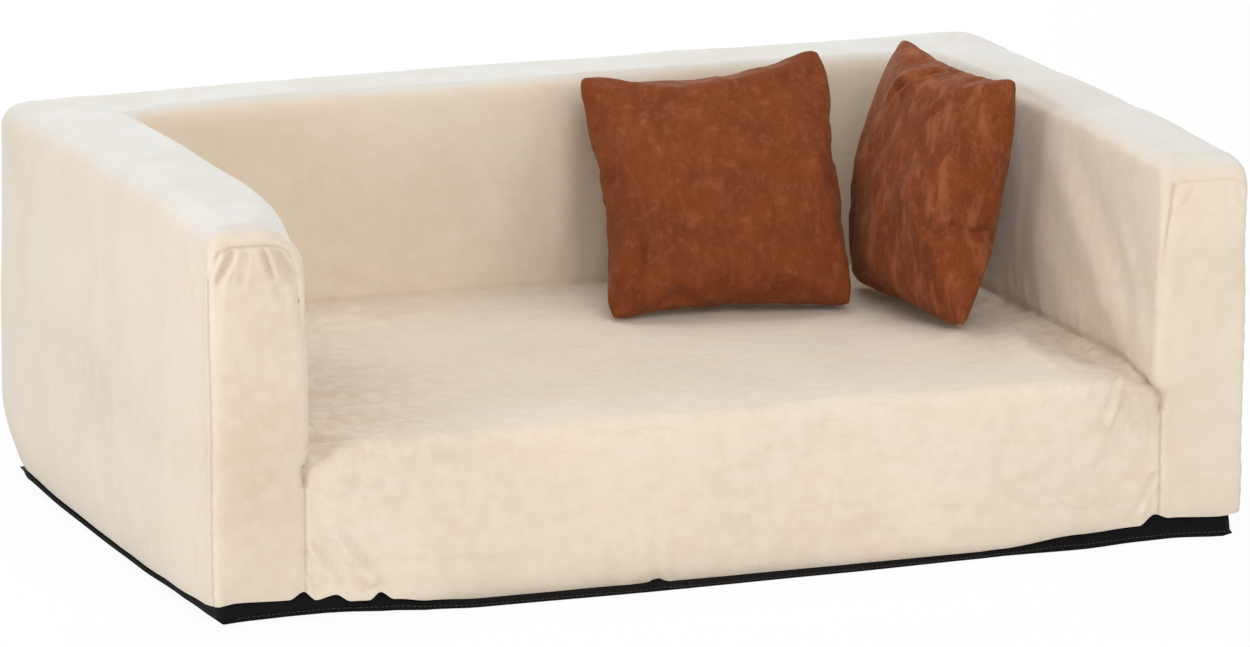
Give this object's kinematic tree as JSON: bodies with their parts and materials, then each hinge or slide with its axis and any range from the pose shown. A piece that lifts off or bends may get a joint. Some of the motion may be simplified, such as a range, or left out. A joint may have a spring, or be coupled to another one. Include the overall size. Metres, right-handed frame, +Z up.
{
  "type": "dog sofa bed",
  "caption": "All-foam sofa-shaped dog bed: padded arms and back round a low seat, in a zipped cream cover on a black base cloth, with loose scatter cushions.",
  "frame": {"origin": "on the floor, under the middle of the sofa's overall width and depth", "axes": "+X to the sofa's right as seen from its open front, along its width; +Y from the open front to the back; +Z up"},
  "size_m": [1.1, 0.72, 0.4295],
  "materials": {
    "cover_velour": "short-pile velour, cream",
    "base_fabric": "black woven non-slip cloth and zip tape",
    "cushion_suede": "brushed microsuede, rust brown",
    "foam": "open-cell polyurethane foam, and fibre filling in the cushions",
    "zip_teeth": "moulded black acetal",
    "zip_metal": "dark lacquered zinc"
  },
  "bodies": {
    "sofa": {"seat_support_foam": "foam", "seat_comfort_foam": "foam", "left_arm_foam": "foam", "right_arm_foam": "foam", "back_foam": "foam", "left_arm_cover": "cover_velour", "right_arm_cover": "cover_velour", "left_arm_front_panel": "cover_velour", "right_arm_front_panel": "cover_velour", "back_cover": "cover_velour", "seat_panel": "cover_velour", "base_cloth": "base_fabric", "rear_zip_upper_tape": "base_fabric", "rear_zip_lower_tape": "base_fabric", "rear_zip_upper_teeth": "zip_teeth", "rear_zip_lower_teeth": "zip_teeth", "rear_zip_stops": "zip_metal"},
    "zip_slider": {"rear_zip_slider": "zip_metal"},
    "zip_pull": {"rear_zip_pull": "zip_metal"},
    "left_cushion": {"left_cushion_front_cover": "cushion_suede", "left_cushion_back_cover": "cushion_suede", "left_cushion_pad": "foam"},
    "right_cushion": {"right_cushion_front_cover": "cushion_suede", "right_cushion_back_cover": "cushion_suede", "right_cushion_pad": "foam"}
  },
  "joints": [
    {"name": "rear_zip_slide", "type": "slide", "parent": "sofa", "child": "zip_slider", "axis": [-1, 0, 0], "range_m": [0, 0.985]},
    {"name": "rear_zip_pull_hinge", "type": "hinge", "parent": "zip_slider", "child": "zip_pull", "pos_m": [0.4927, 0.3571, 0.0085], "axis": [0, 0, -1], "range_deg": [0, 180]},
    {"name": "left_cushion_lift", "type": "slide", "parent": "sofa", "child": "left_cushion", "axis": [0, 0, 1], "range_m": [0, 0.24]},
    {"name": "right_cushion_lift", "type": "slide", "parent": "sofa", "child": "right_cushion", "axis": [0, 0, 1], "range_m": [0, 0.24]}
  ]
}
